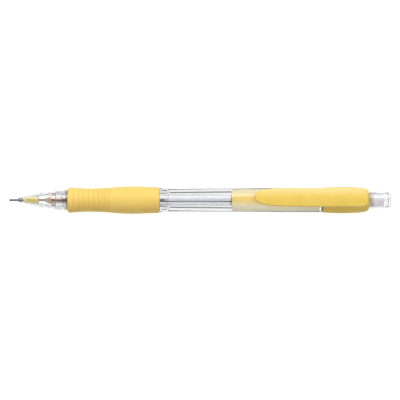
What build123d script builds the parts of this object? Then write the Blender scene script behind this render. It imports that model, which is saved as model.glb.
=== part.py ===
from build123d import *
import math
import os

os.makedirs("parts", exist_ok=True)

# Clear-bodied 0.5 mm mechanical pencil.
# The pencil's axis runs along X: writing tip at -X, push button at +X.
# The pocket clip is on the +Z side. Z = 0 is the table that the grip rests on,
# and X = 0 is the middle of the overall length. All sizes in millimetres.

# ---------------------------------------------------------------- driving sizes
LEAD_TIP_X = -71.0       # front end of the lead, just proud of its pipe
PIPE_TIP_X = -70.9       # front end of the lead pipe
END_X = 71.0             # rear end of the push-button cap
GRIP_R = 5.15            # largest radius of the grip
AXIS_Z = GRIP_R          # height of the axis above the table

LEAD_R = 0.28            # 0.5 class lead, 0.56 across
PIPE_R = 0.44            # outside of the lead pipe where it shows
PIPE_BASE_R = 0.60       # its thicker base, pressed into the slider
PIPE_BORE = 0.30
PIPE_STEP_X = -67.45      # where the base starts, just inside the cone's mouth
SLIDER_R = 1.40
SLIDER_TRAVEL = 2.2      # how far the tip slides back into the cone

PRESS = 3.0              # push-button stroke
RING_TRAVEL = 0.75       # clutch ring stroke
JAW_LEN = 7.5            # chuck jaw, tip to root
SHANK_R = 0.95
HEAD_R = 1.50

CONE_REAR_X = -53.75
BORE_FRONT = 2.15        # bore of the front barrel
BORE_MID = 2.58          # bore of the rear barrel behind its flange
BORE_REAR = 2.80         # the same bore where the yellow sleeve fills it
NECK_R = 3.60            # front barrel under the grip
SOCKET_R = 3.50          # bore of the flange
SPIGOT_R = 3.42          # front barrel inside the flange, a sliding fit
BUSH_R = 2.10
BUSH_REAR_X = -37.4      # stays clear of the lead tube over its stroke
THREAD_PITCH = 0.75

TUBE_R = 2.05            # lead tube
TUBE_BORE = 1.60
MOUTH_R = 2.50           # widened rear mouth of the lead tube
MOUTH_BORE = 2.17

ERASER_R = 2.15
CAP_R = 3.20
CAP_BORE = 2.53

BARREL_END_X = 45.0
SLEEVE_FRONT_X = 45.5
SLEEVE_END_X = 62.6
POCKET_X = 54.9          # floor of the pocket that the cap sinks into

CLIP_TIP_X = 20.1
CLIP_ROOT_X = 46.5       # where the clip bends
CLIP_TOP = 6.35          # crown of the clip above the axis
CLIP_THICK = 1.15
CLIP_HALF_W = 3.58


# ---------------------------------------------------------------- helpers
def lathe(points):
    """Solid of revolution about the pencil's axis from (x, r) points."""
    pts = [(x, r) for x, r in points]
    wire = Polyline(*pts, close=True)
    face = make_face(wire)
    solid = revolve(face, axis=Axis.X, revolution_arc=360)
    return Pos(0, 0, AXIS_Z) * solid


def smooth(points, n):
    """Points along a Catmull-Rom curve through (x, r) points, n steps a span."""
    out = []
    p = [points[0]] + list(points) + [points[-1]]
    for i in range(1, len(p) - 2):
        p0, p1, p2, p3 = p[i - 1], p[i], p[i + 1], p[i + 2]
        for k in range(n):
            t = k / n
            q = []
            for c in (0, 1):
                q.append(0.5 * (2 * p1[c] + (p2[c] - p0[c]) * t
                                + (2 * p0[c] - 5 * p1[c] + 4 * p2[c] - p3[c]) * t * t
                                + (3 * p1[c] - p0[c] - 3 * p2[c] + p3[c]) * t ** 3))
            out.append(tuple(q))
    out.append(points[-1])
    return out


def rod(x0, x1, r, y=0.0, z=0.0):
    """Plain rod along X, its centre y, z from the axis."""
    c = Cylinder(r, x1 - x0, rotation=(0, 90, 0))
    return Pos((x0 + x1) / 2, y, AXIS_Z + z) * c


def save(name, shape):
    shape.label = name
    export_step(shape, f"parts/{name}.step")


def ridges(x0, count, pitch, low, high, width):
    """(x, r) points of ring-shaped thread ridges, from x0 towards +X."""
    pts = []
    for i in range(count):
        x = x0 + i * pitch
        pts += [(x, low), (x + width * 0.5, high), (x + width, low)]
    return pts


# ---------------------------------------------------------------- nose cone
# Clear ogive with a threaded stub behind it. The slider rides in its bore, and
# the clutch ring stops on the shoulder inside.
cone_outer = smooth([(-67.55, 0.80), (-67.38, 0.92), (-66.9, 1.11), (-65.8, 1.42),
                     (-64.3, 1.77), (-62.4, 2.10), (-60.4, 2.37), (-57.4, 2.78),
                     (-54.5, 3.13)], 3)
male = ridges(-53.0, 7, THREAD_PITCH, 2.50, 2.64, 0.50)
cone_pts = (cone_outer
            + [(-54.0, 3.19), (-53.85, 3.19), (CONE_REAR_X, 3.10), (CONE_REAR_X, 2.50)]
            + male
            + [(-47.2, 2.50), (-47.0, 2.38), (-47.0, 2.20)]
            + [(-56.25, 2.20), (-56.25, 1.92), (-57.6, 1.86), (-58.9, 1.47), (-63.45, 1.47),
               (-63.75, 1.34), (-65.72, 0.80), (-65.95, 0.66), (-67.47, 0.66), (-67.55, 0.70)])
nose_cone = lathe(cone_pts)
save("nose_cone", nose_cone)

# ---------------------------------------------------------------- tip slider
slider = lathe([(-65.60, PIPE_BASE_R), (-65.60, 0.70), (-65.52, 0.76), (-63.72, 1.26), (-63.45, 1.30),
                (-63.35, 1.10), (-63.10, 1.10), (-63.0, 1.34), (-62.85, SLIDER_R),
                (-60.05, SLIDER_R), (-59.85, 1.34), (-59.85, 1.20), (-60.65, 1.18),
                (-60.65, 0.95), (-62.30, 0.95), (-62.40, 0.85), (-62.40, PIPE_BASE_R)])
save("tip_slider", slider)

# Steel pipe pressed into the slider; its mouth is rounded so it doesn't scratch.
pipe = lathe([(PIPE_TIP_X, 0.385), (PIPE_TIP_X + 0.03, 0.415), (PIPE_TIP_X + 0.09, PIPE_R),
              (PIPE_STEP_X, PIPE_R), (PIPE_STEP_X + 0.10, PIPE_BASE_R), (-62.40, PIPE_BASE_R),
              (-62.40, PIPE_BORE), (PIPE_TIP_X + 0.04, PIPE_BORE), (PIPE_TIP_X, 0.325)])
save("lead_pipe", pipe)

# Rubber ring that holds the lead while the jaws are open.
retainer = lathe([(-62.30, 0.30), (-62.30, 0.95), (-60.75, 0.95), (-60.75, 0.60), (-61.05, 0.29),
                  (-62.10, 0.29)])
save("lead_retainer", retainer)

# Lead in use, from the pipe's mouth back through the chuck into the tube.
lead = lathe([(LEAD_TIP_X, 0.0), (LEAD_TIP_X, 0.19), (LEAD_TIP_X + 0.12, LEAD_R),
              (-13.0, LEAD_R), (-13.0, 0.0)])
save("writing_lead", lead)

# ---------------------------------------------------------------- chuck
# Brass collet. The three jaws are split from its nose back to the root; the
# rear of each jaw meets the solid shank face to face.
JAW_TIP_X = -57.5
JAW_ROOT_X = JAW_TIP_X + JAW_LEN
chuck_jaws = lathe([(JAW_TIP_X, 0.29), (JAW_TIP_X, 0.62), (JAW_TIP_X + 0.10, 0.72),
                    (-55.30, 1.44), (-55.15, HEAD_R), (-54.90, HEAD_R), (-53.62, SHANK_R),
                    (JAW_ROOT_X, SHANK_R), (JAW_ROOT_X, 0.45), (-54.6, 0.45), (-54.9, 0.29)])
SLIT = 0.12
for name, deg in (("a", 90), ("b", 210), ("c", 330)):
    a = math.radians(deg)
    off = SLIT / math.sin(math.radians(60))
    ax, az = off * math.cos(a), off * math.sin(a)
    wedge = make_face(Plane.YZ * Polyline(
        (ax, az),
        (ax + 6 * math.cos(a - math.pi / 3), az + 6 * math.sin(a - math.pi / 3)),
        (ax + 6 * math.cos(a + math.pi / 3), az + 6 * math.sin(a + math.pi / 3)),
        close=True))
    prism = Pos(JAW_TIP_X - 1, 0, AXIS_Z) * extrude(wedge, amount=JAW_LEN + 1, dir=(1, 0, 0))
    jaw = chuck_jaws & prism
    save("chuck_jaw_" + name, jaw)

# Solid shank behind the slits, with a barbed tail for the joint piece.
chuck = lathe([(JAW_ROOT_X, 0.45), (JAW_ROOT_X, SHANK_R), (-43.6, SHANK_R), (-43.5, 1.20),
               (-42.9, 1.20), (-42.8, SHANK_R), (-40.8, SHANK_R), (-40.8, 0.55), (-41.6, 0.34),
               (-48.6, 0.34), (-49.2, 0.45)])
save("chuck", chuck)

# Ring whose tapered mouth closes the jaws.
ring = lathe([(-55.00, 1.56), (-55.00, 2.02), (-54.92, 2.10), (-53.48, 2.10), (-53.42, 2.04),
              (-53.42, 1.05), (-53.70, 1.05)])
save("clutch_ring", ring)

# Clear bush pressed into the front barrel: its nose seats the ring, and its
# inner shoulder holds the front of the spring.
bush = lathe([(-53.40, 1.06), (-53.40, 1.98), (-53.28, BUSH_R), (-46.35, BUSH_R),
              (-46.35, BORE_FRONT), (BUSH_REAR_X, BORE_FRONT), (BUSH_REAR_X, 1.80), (-51.4, 1.80),
              (-51.4, 1.06)])
save("clutch_bush", bush)

# ---------------------------------------------------------------- return spring
SPRING_X0, SPRING_X1 = -51.38, -43.62
WIRE_R = 0.16
COIL_R = 1.36
coil_len = SPRING_X1 - SPRING_X0 - 2 * WIRE_R
turns = 7.5
helix = Helix(pitch=coil_len / turns, height=coil_len, radius=COIL_R)
section = Plane(origin=helix @ 0, z_dir=helix % 0) * Circle(WIRE_R)
spring = sweep(section, path=helix, is_frenet=True)
spring = Pos(SPRING_X0 + WIRE_R, 0, AXIS_Z) * (Rot(0, 90, 0) * spring)
save("return_spring", spring)

# Funnel piece: takes the chuck's tail, presses into the lead tube, and guides
# one lead at a time into the chuck.
joint = lathe([(-43.60, 1.22), (-43.60, 1.70), (-36.0, 1.70), (-36.0, 1.60), (-32.0, 1.60),
               (-32.0, 1.50), (-37.0, 0.95), (-40.2, 0.40), (-40.78, 0.36), (-40.78, SHANK_R),
               (-42.78, SHANK_R), (-42.88, 1.20), (-43.48, 1.20)])
save("chuck_joint", joint)

# ---------------------------------------------------------------- lead tube
lead_tube = lathe([(-33.4, 1.60), (-33.6, 1.75), (-33.6, TUBE_R), (53.0, TUBE_R), (55.5, MOUTH_R),
                   (64.1, MOUTH_R), (64.35, 2.38), (64.35, MOUTH_BORE), (57.4, MOUTH_BORE),
                   (56.9, 1.95), (53.6, TUBE_BORE), (-33.4, TUBE_BORE)])
# The funnel's spigot plugs the front of the tube.
save("lead_tube", lead_tube)

# One spare lead lying on the floor of the tube.
SPARE_Y, SPARE_Z = -0.42, -1.20
spare = rod(-31.0, 29.0, LEAD_R, SPARE_Y, SPARE_Z)
save("spare_lead", spare)

# ---------------------------------------------------------------- front barrel
# Clear tube: threaded collar in front, retaining lip, neck for the grip, and a
# spigot that plugs into the rear barrel's flange.
female = []
for i in range(8):
    x = -46.95 - i * THREAD_PITCH
    female += [(x, 2.74), (x - 0.25, 2.88), (x - 0.50, 2.74)]
front_barrel = lathe([(-53.65, 2.95), (-53.65, 3.48), (-53.52, 3.55), (-50.6, 3.57), (-49.9, 3.66),
                      (-49.45, 3.86), (-49.35, 3.90), (-49.15, 3.90), (-49.15, NECK_R),
                      (-14.9, NECK_R), (-14.9, SPIGOT_R), (-12.2, SPIGOT_R), (-12.2, 2.45),
                      (-12.9, BORE_FRONT), (-46.5, BORE_FRONT), (-46.75, 2.74)]
                     + female + [(-53.45, 2.74)])
save("front_barrel", front_barrel)

# ---------------------------------------------------------------- grip
# Rubber sleeve, waisted for the fingers, with fine rings over its front half.
grip_outer = smooth([(-48.95, 4.55), (-48.6, 4.70), (-48.0, 4.73), (-46.8, 4.66), (-45.4, 4.57),
                     (-43.3, 4.44), (-41.3, 4.38), (-38.8, 4.43), (-36.4, 4.53), (-32.7, 4.78),
                     (-28.3, 5.08), (-23.8, GRIP_R), (-19.4, 4.97), (-16.8, 4.90),
                     (-15.7, 4.84), (-15.2, 4.66)], 4)
grip = lathe([(-49.10, NECK_R), (-49.10, 4.25)] + grip_outer + [(-14.95, 4.35), (-14.95, NECK_R)])
GROOVES = [(-46.85, 4.66), (-44.90, 4.54), (-43.10, 4.43), (-41.25, 4.38), (-39.40, 4.41),
           (-37.65, 4.47), (-36.30, 4.53), (-35.30, 4.59), (-34.40, 4.65), (-33.40, 4.73)]
for gx, gr in GROOVES:
    grip -= lathe([(gx - 0.24, gr + 0.3), (gx - 0.10, gr - 0.11), (gx + 0.10, gr - 0.11),
                   (gx + 0.24, gr + 0.3)])
save("grip", grip)

# ---------------------------------------------------------------- rear barrel
# Clear tube with a short flange that the grip butts against. The bore's rear
# mouth is countersunk, to lead the sleeve's spigot in.
rear_outer = smooth([(-11.5, 4.27), (-8.0, 4.29), (0.0, 4.32), (14.8, 4.41), (22.3, 4.49),
                     (29.7, 4.55), (44.85, 4.56)], 3)
rear_barrel = lathe([(-14.9, SOCKET_R), (-14.9, 4.45), (-14.75, 4.57), (-12.25, 4.57),
                     (-12.05, 4.45), (-11.9, 4.32)] + rear_outer
                    + [(BARREL_END_X, 4.44), (BARREL_END_X, 3.30), (43.4, BORE_REAR), (11.0, BORE_REAR),
                       (-11.4, BORE_MID),
                       (-12.2, 2.45), (-12.2, SOCKET_R)])
save("rear_barrel", rear_barrel)

# ---------------------------------------------------------------- rear sleeve
# Yellow end sleeve: a long spigot fills the rear of the barrel, and the raised
# root of the clip runs along its top to the rear end.
sleeve_outer = smooth([(SLEEVE_FRONT_X + 0.1, 4.66), (47.5, 4.80), (49.6, 4.93), (52.0, 4.99),
                       (54.2, 4.97), (56.4, 4.89), (59.4, 4.69), (60.5, 4.55), (61.6, 4.36),
                       (62.2, 4.12)], 3)
sleeve = lathe([(11.7, 2.15), (11.7, 2.62), (11.85, BORE_REAR), (SLEEVE_FRONT_X, BORE_REAR),
                (SLEEVE_FRONT_X, 4.56)] + sleeve_outer
               + [(62.5, 3.85), (SLEEVE_END_X, 3.60), (SLEEVE_END_X, 3.36), (POCKET_X, 3.36),
                  (POCKET_X, 2.66), (47.5, 2.66), (46.5, 2.15)])


def clip_bar(x_list, half_w, top_of, thick_of):
    """Bar along X with a crowned top: loft of closed sections at x_list."""
    sections = []
    for x in x_list:
        w = half_w(x)
        t = top_of(x)
        b = t - thick_of(x)
        drop = 0.034 * w * w
        pl = Plane(origin=(x, 0, AXIS_Z), x_dir=(0, 1, 0), z_dir=(1, 0, 0))
        with BuildSketch(pl) as sk:
            with BuildLine():
                ThreePointArc((-w, t - drop), (0, t), (w, t - drop))
                Line((w, t - drop), (w, b))
                Line((w, b), (-w, b))
                Line((-w, b), (-w, t - drop))
            make_face()
        sections.append(sk.sketch.faces()[0])
    return loft(sections)


def lerp_table(table, x):
    if x <= table[0][0]:
        return table[0][1]
    for (xa, va), (xb, vb) in zip(table, table[1:]):
        if x <= xb:
            return va + (vb - va) * (x - xa) / (xb - xa)
    return table[-1][1]


# Root of the clip on the sleeve: crown falls away to the rear end.
root_top = [(CLIP_ROOT_X, CLIP_TOP), (52.0, 6.28), (56.0, 6.00), (59.5, 5.45), (61.6, 4.85)]
root = clip_bar([CLIP_ROOT_X, 49.5, 52.0, 54.5, 56.5, 58.5, 60.2, 61.6],
                lambda x: lerp_table([(CLIP_ROOT_X, 3.58), (56.0, 3.55), (60.0, 3.2), (61.6, 2.7)], x),
                lambda x: lerp_table(root_top, x),
                lambda x: lerp_table(root_top, x) - 3.45)
sleeve = sleeve + root
save("rear_sleeve", sleeve)

# ---------------------------------------------------------------- clip
# Tapered bar with a crowned top and a pointed-oval end; a small pad under the
# end grips the pocket cloth.
outline = [(CLIP_TIP_X, 0.0), (20.25, 0.75), (20.7, 1.40), (21.6, 2.05), (23.0, 2.62), (25.2, 3.08),
           (27.8, 3.35), (31.5, 3.50), (38.0, 3.56), (CLIP_ROOT_X, CLIP_HALF_W)]
xs = [CLIP_ROOT_X, 42.0, 36.0, 30.0, 25.0, 19.0]
blank = clip_bar(xs, lambda x: CLIP_HALF_W + 0.02, lambda x: CLIP_TOP, lambda x: CLIP_THICK)
plan = make_face(Plane.XY * (
    Spline(*[(x, y) for x, y in outline])
    + Spline(*[(x, -y) for x, y in reversed(outline)])
    + Line((CLIP_ROOT_X, CLIP_HALF_W), (CLIP_ROOT_X, -CLIP_HALF_W))))
cutter = Pos(0, 0, AXIS_Z) * extrude(plan, amount=12)
clip = blank & cutter
pad = Pos(23.2, 0, AXIS_Z + 4.62) * (
    Cylinder(2.3, 3.0, rotation=(90, 0, 0)))
pad = pad & (Pos(23.2, 0, AXIS_Z + 4.62 + 0.40) * Box(4.4, 3.0, 0.80))
clip = clip + pad
save("clip", clip)

# ---------------------------------------------------------------- eraser, cap
eraser = lathe([(58.4, 0.0), (58.4, 2.02), (58.55, ERASER_R), (68.05, ERASER_R), (68.3, 1.98),
                (68.3, 0.0)])
save("eraser", eraser)

cap_outer = smooth([(64.5, CAP_R), (65.3, 3.07), (66.4, 2.90), (67.4, 2.85), (68.6, 2.87),
                    (69.7, 2.90)], 3)
cap = lathe([(58.2, CAP_BORE), (58.2, 3.05), (58.4, 3.16), (60.0, CAP_R), (64.0, CAP_R)] + cap_outer
            + [(70.20, 2.84), (70.60, 2.62), (70.86, 2.28), (70.97, 1.90), (END_X, 1.5), (END_X, 0.0),
               (69.95, 0.0), (69.95, 1.9), (69.6, 2.25), (69.0, 2.38), (65.9, 2.38), (65.0, CAP_BORE)])
save("eraser_cap", cap)
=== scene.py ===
import bpy, bmesh, math
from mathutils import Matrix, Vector


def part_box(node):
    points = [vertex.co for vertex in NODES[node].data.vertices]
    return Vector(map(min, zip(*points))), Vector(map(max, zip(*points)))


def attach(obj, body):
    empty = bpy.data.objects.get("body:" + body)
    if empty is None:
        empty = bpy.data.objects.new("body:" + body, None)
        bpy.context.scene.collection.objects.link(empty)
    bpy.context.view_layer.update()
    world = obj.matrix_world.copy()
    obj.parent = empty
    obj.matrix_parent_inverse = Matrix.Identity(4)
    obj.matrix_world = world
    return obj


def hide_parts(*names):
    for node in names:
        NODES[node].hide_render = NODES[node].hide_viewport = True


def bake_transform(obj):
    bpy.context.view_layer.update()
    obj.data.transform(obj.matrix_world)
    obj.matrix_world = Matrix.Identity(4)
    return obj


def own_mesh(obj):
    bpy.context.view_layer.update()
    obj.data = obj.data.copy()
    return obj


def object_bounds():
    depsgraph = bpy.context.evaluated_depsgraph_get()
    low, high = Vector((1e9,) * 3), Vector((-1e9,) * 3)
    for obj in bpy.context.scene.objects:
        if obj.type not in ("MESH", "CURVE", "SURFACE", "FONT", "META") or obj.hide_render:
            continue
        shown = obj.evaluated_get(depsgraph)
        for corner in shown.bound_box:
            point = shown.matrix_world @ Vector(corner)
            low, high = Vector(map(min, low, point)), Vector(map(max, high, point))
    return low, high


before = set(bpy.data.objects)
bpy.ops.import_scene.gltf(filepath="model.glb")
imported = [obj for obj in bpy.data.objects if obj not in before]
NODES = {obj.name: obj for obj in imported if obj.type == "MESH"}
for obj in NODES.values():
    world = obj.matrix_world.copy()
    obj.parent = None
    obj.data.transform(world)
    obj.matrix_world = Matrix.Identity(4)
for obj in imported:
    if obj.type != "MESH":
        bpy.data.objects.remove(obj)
CAD_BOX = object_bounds()

# A clear-bodied mechanical pencil. Axis along X, tip at -X, clip at +Z.
# Lengths below are written in millimetres and turned into metres by MM.
MM = 0.001
scene = bpy.context.scene
_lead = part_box("writing_lead")
AXIS_Z = (_lead[0][2] + _lead[1][2]) / 2 / MM      # height of the axis above the table
TAU = 2 * math.pi


# ------------------------------------------------------------------ camera
target = Vector(((CAD_BOX[0][0] + CAD_BOX[1][0]) / 2 - 0.04 * MM, 0.0, AXIS_Z * MM))
elev = math.radians(79.0)
dist = 0.90
back = Vector((0.0, -math.cos(elev), math.sin(elev)))
cam_data = bpy.data.cameras.new("camera")
cam_data.sensor_width = 36.0
cam_data.lens = 18.0 / (0.0743 / dist)
cam_data.clip_start = 0.01
cam_data.clip_end = 20.0
cam = bpy.data.objects.new("camera", cam_data)
scene.collection.objects.link(cam)
cam.location = target + back * dist
cam.rotation_mode = "QUATERNION"
cam.rotation_quaternion = (-back).to_track_quat("-Z", "Y")
scene.camera = cam

scene.view_settings.view_transform = "Standard"
scene.view_settings.look = "None"
scene.view_settings.exposure = 0.0
scene.cycles.max_bounces = 24
scene.cycles.transmission_bounces = 20
scene.cycles.glossy_bounces = 8
scene.cycles.diffuse_bounces = 5
scene.cycles.transparent_max_bounces = 24
scene.cycles.sample_clamp_indirect = 6.0
scene.cycles.caustics_reflective = True
scene.cycles.caustics_refractive = True


# ------------------------------------------------------------------ mesh tools
def new_object(name, verts, faces, smooth=True, sharp_deg=35.0):
    me = bpy.data.meshes.new(name)
    me.from_pydata([tuple(c * MM for c in v) for v in verts], [], faces)
    me.update()
    ob = bpy.data.objects.new(name, me)
    scene.collection.objects.link(ob)
    bm = bmesh.new()
    bm.from_mesh(me)
    bmesh.ops.remove_doubles(bm, verts=bm.verts, dist=1e-8)
    bmesh.ops.recalc_face_normals(bm, faces=bm.faces)
    lim = math.radians(sharp_deg)
    for e in bm.edges:
        if len(e.link_faces) == 2 and e.calc_face_angle(0.0) > lim:
            e.smooth = False
    for f in bm.faces:
        f.smooth = smooth
    bm.to_mesh(me)
    bm.free()
    me.update()
    return ob


def lathe(name, profile, seg=128, closed=True, sharp_deg=35.0, y=0.0, z=0.0):
    """Solid of revolution about the pencil's axis from a closed (x, r) outline in mm."""
    verts, rings = [], []
    for x, r in profile:
        if r < 1e-6:
            rings.append([len(verts)])
            verts.append((x, y, AXIS_Z + z))
        else:
            ring = []
            for k in range(seg):
                a = TAU * k / seg
                ring.append(len(verts))
                verts.append((x, y + r * math.cos(a), AXIS_Z + z + r * math.sin(a)))
            rings.append(ring)
    faces = []
    n = len(rings)
    pairs = [(i, (i + 1) % n) for i in range(n if closed else n - 1)]
    for i, j in pairs:
        a, b = rings[i], rings[j]
        if len(a) == 1 and len(b) == 1:
            continue
        for k in range(seg):
            m = (k + 1) % seg
            if len(a) == 1:
                faces.append((a[0], b[m], b[k]))
            elif len(b) == 1:
                faces.append((a[k], a[m], b[0]))
            else:
                faces.append((a[k], a[m], b[m], b[k]))
    return new_object(name, verts, faces, sharp_deg=sharp_deg)


def fit(profile, node):
    """Stretches a profile's length so that its ends lie where the frame has the node's ends."""
    lo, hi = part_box(node)
    a, b = lo[0] / MM, hi[0] / MM
    x0, x1 = min(p[0] for p in profile), max(p[0] for p in profile)
    k = (b - a) / (x1 - x0)
    return [(a + (x - x0) * k, r) for x, r in profile]


def spline(points, n):
    """Catmull-Rom through (x, r) points, n steps a span."""
    out = []
    p = [points[0]] + list(points) + [points[-1]]
    for i in range(1, len(p) - 2):
        p0, p1, p2, p3 = p[i - 1], p[i], p[i + 1], p[i + 2]
        for k in range(n):
            t = k / n
            out.append(tuple(0.5 * (2 * p1[c] + (p2[c] - p0[c]) * t
                       + (2 * p0[c] - 5 * p1[c] + 4 * p2[c] - p3[c]) * t * t
                       + (3 * p1[c] - p0[c] - 3 * p2[c] + p3[c]) * t ** 3) for c in (0, 1)))
    out.append(points[-1])
    return out


def rounded(profile, radii, steps=4):
    """Rounds the corners of a closed (x, r) outline. radii is {index: radius}."""
    out = []
    n = len(profile)
    for i, p in enumerate(profile):
        r = radii.get(i, 0.0)
        if r <= 0:
            out.append(p)
            continue
        a, b = Vector(profile[i - 1]), Vector(profile[(i + 1) % n])
        c = Vector(p)
        u, v = (a - c), (b - c)
        lu, lv = u.length, v.length
        u.normalize(); v.normalize()
        ang = math.acos(max(-1.0, min(1.0, u.dot(v))))
        if ang > math.pi - 0.02:
            out.append(p)
            continue
        d = min(r / math.tan(ang / 2), lu * 0.49, lv * 0.49)
        s, e = c + u * d, c + v * d
        for k in range(steps + 1):
            t = k / steps
            q = s * (1 - t) ** 2 + c * 2 * t * (1 - t) + e * t * t
            out.append((q.x, q.y))
    return out


# ------------------------------------------------------------------ materials
def material(name):
    m = bpy.data.materials.new(name)
    m.use_nodes = True
    nt = m.node_tree
    return m, nt, nt.nodes["Principled BSDF"]


def link(nt, a, b):
    nt.links.new(a, b)


def tex_coord(nt, scale=(1, 1, 1)):
    tc = nt.nodes.new("ShaderNodeTexCoord")
    mp = nt.nodes.new("ShaderNodeMapping")
    mp.inputs["Scale"].default_value = scale
    link(nt, tc.outputs["Object"], mp.inputs["Vector"])
    return mp.outputs["Vector"]


def noise(nt, vec, scale, detail=2.0, rough=0.5):
    n = nt.nodes.new("ShaderNodeTexNoise")
    n.inputs["Scale"].default_value = scale
    n.inputs["Detail"].default_value = detail
    n.inputs["Roughness"].default_value = rough
    link(nt, vec, n.inputs["Vector"])
    return n.outputs["Fac"]


def bump(nt, height, strength, distance, into, chain=None):
    b = nt.nodes.new("ShaderNodeBump")
    b.inputs["Strength"].default_value = strength
    b.inputs["Distance"].default_value = distance
    link(nt, height, b.inputs["Height"])
    if chain is not None:
        link(nt, chain, b.inputs["Normal"])
    if into is not None:
        link(nt, b.outputs["Normal"], into)
    return b.outputs["Normal"]


def ramp(nt, fac, stops):
    r = nt.nodes.new("ShaderNodeValToRGB")
    els = r.color_ramp.elements
    while len(els) > 1:
        els.remove(els[-1])
    els[0].position, els[0].color = stops[0][0], stops[0][1]
    for pos, col in stops[1:]:
        e = els.new(pos)
        e.color = col
    link(nt, fac, r.inputs["Fac"])
    return r


def grey(v):
    return (v, v, v, 1.0)


def along(nt, axis, lo, hi, smooth=False):
    """0 to 1 as the object's own X, Y or Z goes from lo to hi (mm)."""
    tc = nt.nodes.new("ShaderNodeTexCoord")
    sep = nt.nodes.new("ShaderNodeSeparateXYZ")
    link(nt, tc.outputs["Object"], sep.inputs["Vector"])
    mr = nt.nodes.new("ShaderNodeMapRange")
    mr.interpolation_type = "SMOOTHSTEP" if smooth else "LINEAR"
    mr.inputs["From Min"].default_value = lo * MM
    mr.inputs["From Max"].default_value = hi * MM
    link(nt, sep.outputs[axis], mr.inputs["Value"])
    return mr.outputs["Result"]


def blend_colour(nt, fac, a, b, how="MIX"):
    n = nt.nodes.new("ShaderNodeMix")
    n.data_type = "RGBA"
    n.blend_type = how
    for sock, v in ((n.inputs["Factor"], fac), (n.inputs[6], a), (n.inputs[7], b)):
        if isinstance(v, (tuple, float)):
            sock.default_value = v
        else:
            link(nt, v, sock)
    return n.outputs[2]


def srgb(r, g, b):
    f = lambda c: c / 12.92 if c <= 0.04045 else ((c + 0.055) / 1.055) ** 2.4
    return (f(r / 255), f(g / 255), f(b / 255), 1.0)


def darker(c, k):
    return tuple(v * k for v in c[:3]) + (1.0,)


def clear_plastic(name, tint=(0.985, 0.99, 1.0, 1.0), rough=0.0):
    m, nt, p = material(name)
    p.inputs["Transmission Weight"].default_value = 1.0
    p.inputs["IOR"].default_value = 1.49
    v = tex_coord(nt)
    # faint flow lines and handling marks in the moulding
    r = ramp(nt, noise(nt, v, 260.0, 3.0, 0.6), [(0.45, grey(rough)), (0.85, grey(rough + 0.018))])
    link(nt, r.outputs["Color"], p.inputs["Roughness"])
    c = ramp(nt, noise(nt, v, 90.0, 2.0, 0.5), [(0.3, tint), (0.7, darker(tint, 0.992))])
    link(nt, c.outputs["Color"], p.inputs["Base Color"])
    bump(nt, noise(nt, v, 70.0, 1.0, 0.5), 0.05, 0.00001, p.inputs["Normal"])
    return m


def yellow_core(name):
    """The long spigot inside the clear barrel: the same plastic. Painted light makes its colour paler towards the
    flanks under the barrel, and a painted shadow turns it dark brown in the gap in front of the sleeve."""
    m, nt, p = material(name)
    v = tex_coord(nt)
    # painted light: deep colour along the middle, where the wall is seen square on, painted paler towards the flanks
    painted_flank_light = along(nt, "Y", -2.8, 2.8)
    deep, pale = srgb(244, 214, 124), srgb(246, 238, 204)
    c = ramp(nt, painted_flank_light, [(0.05, pale), (0.38, deep), (0.62, deep), (0.95, pale)])
    cloud = ramp(nt, noise(nt, v, 160.0, 3.0, 0.55), [(0.3, grey(1.0)), (0.7, (0.99, 0.975, 0.95, 1))])
    tint = blend_colour(nt, 1.0, c.outputs["Color"], cloud.outputs["Color"], "MULTIPLY")
    # painted shadow: dark brown over the gap in front of the sleeve, from x 44.7 mm on
    link(nt, blend_colour(nt, along(nt, "X", *GAP_SHADOW_X), tint, srgb(122, 84, 34)), p.inputs["Base Color"])
    r = ramp(nt, noise(nt, v, 900.0, 3.0, 0.6), [(0.3, grey(0.34)), (0.7, grey(0.46))])
    link(nt, r.outputs["Color"], p.inputs["Roughness"])
    p.inputs["IOR"].default_value = 1.49
    bump(nt, noise(nt, v, 2600.0, 2.0, 0.5), 0.10, 0.00002, p.inputs["Normal"])
    return m


# span along x, in mm, where the painted gap shadow fades in
GAP_SHADOW_X = (44.7, 45.0)


def yellow_plastic(name, base=(230, 199, 91)):
    m, nt, p = material(name)
    v = tex_coord(nt)
    a = srgb(*base)
    b = srgb(base[0] - 5, base[1] - 7, base[2] - 10)
    c = ramp(nt, noise(nt, v, 160.0, 3.0, 0.55), [(0.3, a), (0.7, b)])
    # painted light: the side towards the window-like light is painted paler, lighter towards +Y
    painted_side_light = ramp(nt, along(nt, "Y", 0.0, 4.6), [(0.0, grey(0.0)), (1.0, grey(0.9))])
    link(nt, blend_colour(nt, painted_side_light.outputs["Color"], c.outputs["Color"], srgb(base[0] + 1, base[1] + 9, base[2] + 49)),
         p.inputs["Base Color"])
    r = ramp(nt, noise(nt, v, 900.0, 3.0, 0.6), [(0.3, grey(0.30)), (0.7, grey(0.42))])
    link(nt, r.outputs["Color"], p.inputs["Roughness"])
    p.inputs["IOR"].default_value = 1.49
    p.inputs["Subsurface Weight"].default_value = 0.15
    p.inputs["Subsurface Radius"].default_value = (1.0, 0.7, 0.3)
    p.inputs["Subsurface Scale"].default_value = 0.0006
    p.inputs["Sheen Weight"].default_value = 0.10
    p.inputs["Sheen Roughness"].default_value = 0.35
    # fine moulded texture over a faint waviness
    fine = bump(nt, noise(nt, v, 2600.0, 2.0, 0.5), 0.10, 0.00002, None)
    bump(nt, noise(nt, v, 300.0, 1.0, 0.5), 0.05, 0.00005, p.inputs["Normal"], fine)
    return m


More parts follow.
